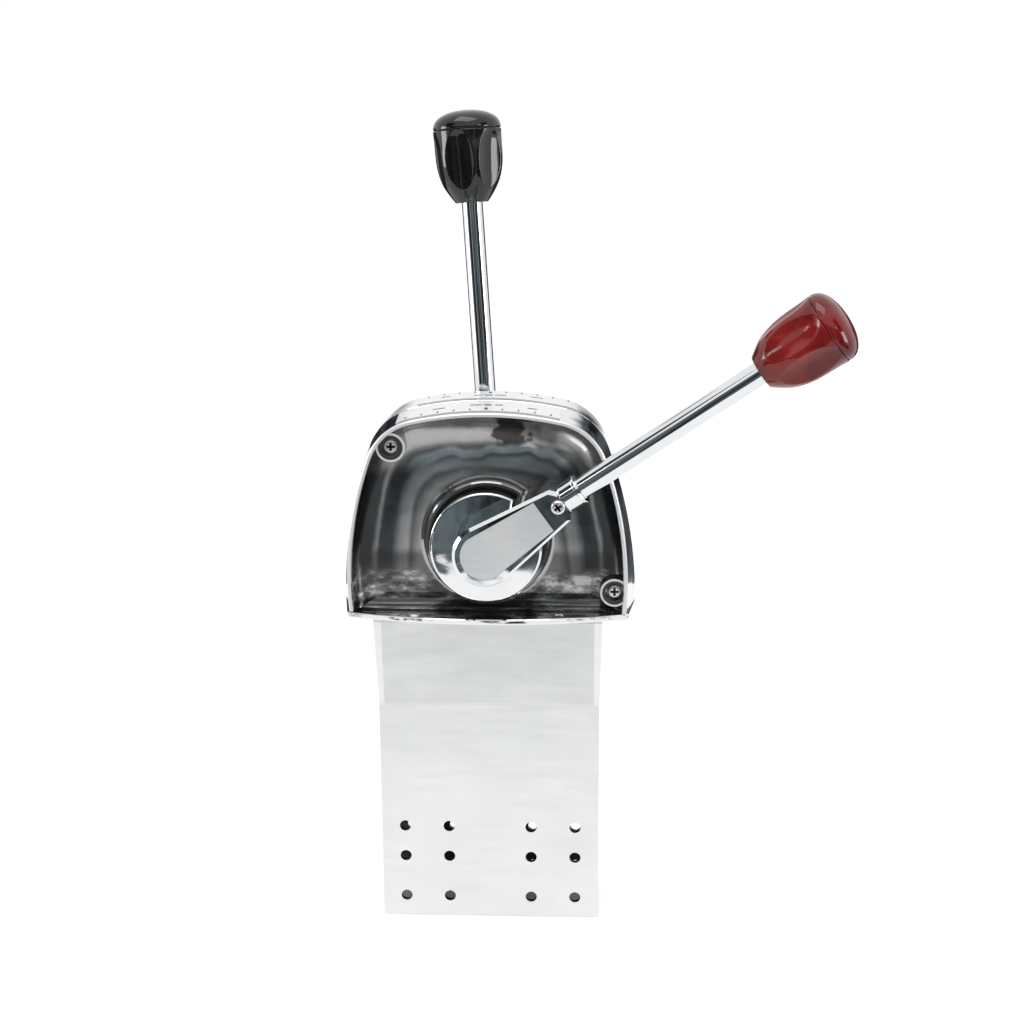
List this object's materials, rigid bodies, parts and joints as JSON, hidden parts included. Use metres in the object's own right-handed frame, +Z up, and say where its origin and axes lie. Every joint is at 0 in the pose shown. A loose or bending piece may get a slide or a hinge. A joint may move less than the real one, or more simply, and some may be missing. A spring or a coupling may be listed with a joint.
{
  "type": "twin lever boat engine control",
  "caption": "Top-mount boat control: a D-shaped chrome housing with a throttle lever and a shift lever on either side, and sheet hangers with clamp holes for the push-pull cables below deck.",
  "frame": {"origin": "centre of the base, in the plane of the deck", "axes": "+Z up out of the deck, X fore and aft in the plane the levers swing in, -Y the throttle side, +Y the shift side"},
  "size_m": [0.2748, 0.1648, 0.4587],
  "materials": {
    "chrome_casting": "polished chrome on a zinc die casting",
    "satin_plate": "satin brushed",
    "brushed_sheet": "fine brushed stainless sheet",
    "bronze": "oiled sintered bronze",
    "nylon": "natural nylon",
    "screw_steel": "bright stainless",
    "spring_steel": "drawn wire",
    "ball_steel": "ground ball",
    "shaft_steel": "turned stainless",
    "zinc_plate": "zinc plated steel",
    "polished_rod": "polished stainless rod",
    "red_knob": "glossy deep red",
    "black_knob": "glossy black"
  },
  "bodies": {
    "housing": {"throttle_side_housing": "chrome_casting", "shift_side_housing": "chrome_casting", "throttle_scale_plate": "satin_plate", "shift_scale_plate": "satin_plate", "throttle_hanger": "brushed_sheet", "shift_hanger": "brushed_sheet", "throttle_bush": "bronze", "shift_bush": "bronze", "throttle_thrust_washer": "nylon", "shift_thrust_washer": "nylon", "throttle_hanger_screws": "screw_steel", "shift_hanger_screws": "screw_steel", "throttle_side_housing_screws": "screw_steel", "shift_side_housing_screws": "screw_steel", "throttle_brake_pad": "nylon", "throttle_brake_spring": "spring_steel", "shift_detent_ball": "ball_steel", "shift_detent_spring": "spring_steel"},
    "throttle_lever": {"throttle_shaft": "shaft_steel", "throttle_hub_disc": "chrome_casting", "throttle_arm": "chrome_casting", "throttle_arm_screw": "screw_steel", "throttle_nameplate": "satin_plate", "throttle_clamp_screw": "screw_steel", "throttle_rod": "polished_rod", "throttle_collar": "chrome_casting", "throttle_knob": "red_knob", "throttle_knob_cap": "red_knob", "throttle_crank": "zinc_plate", "throttle_cable_pin": "shaft_steel", "throttle_crank_washer": "screw_steel", "throttle_crank_nut": "screw_steel"},
    "shift_lever": {"shift_shaft": "shaft_steel", "shift_hub_disc": "chrome_casting", "shift_arm": "chrome_casting", "shift_arm_screw": "screw_steel", "shift_nameplate": "satin_plate", "shift_clamp_screw": "screw_steel", "shift_rod": "polished_rod", "shift_collar": "chrome_casting", "shift_knob": "black_knob", "shift_knob_cap": "black_knob", "shift_crank": "zinc_plate", "shift_cable_pin": "shaft_steel", "shift_crank_washer": "screw_steel", "shift_crank_nut": "screw_steel"}
  },
  "joints": [
    {"name": "throttle_pivot", "type": "hinge", "parent": "housing", "child": "throttle_lever", "pos_m": [0, 0, 0.043], "axis": [0, 1, 0], "range_deg": [-114.7, 5.3]},
    {"name": "shift_pivot", "type": "hinge", "parent": "housing", "child": "shift_lever", "pos_m": [0, 0, 0.043], "axis": [0, 1, 0], "range_deg": [-56.2, 63.8]}
  ]
}
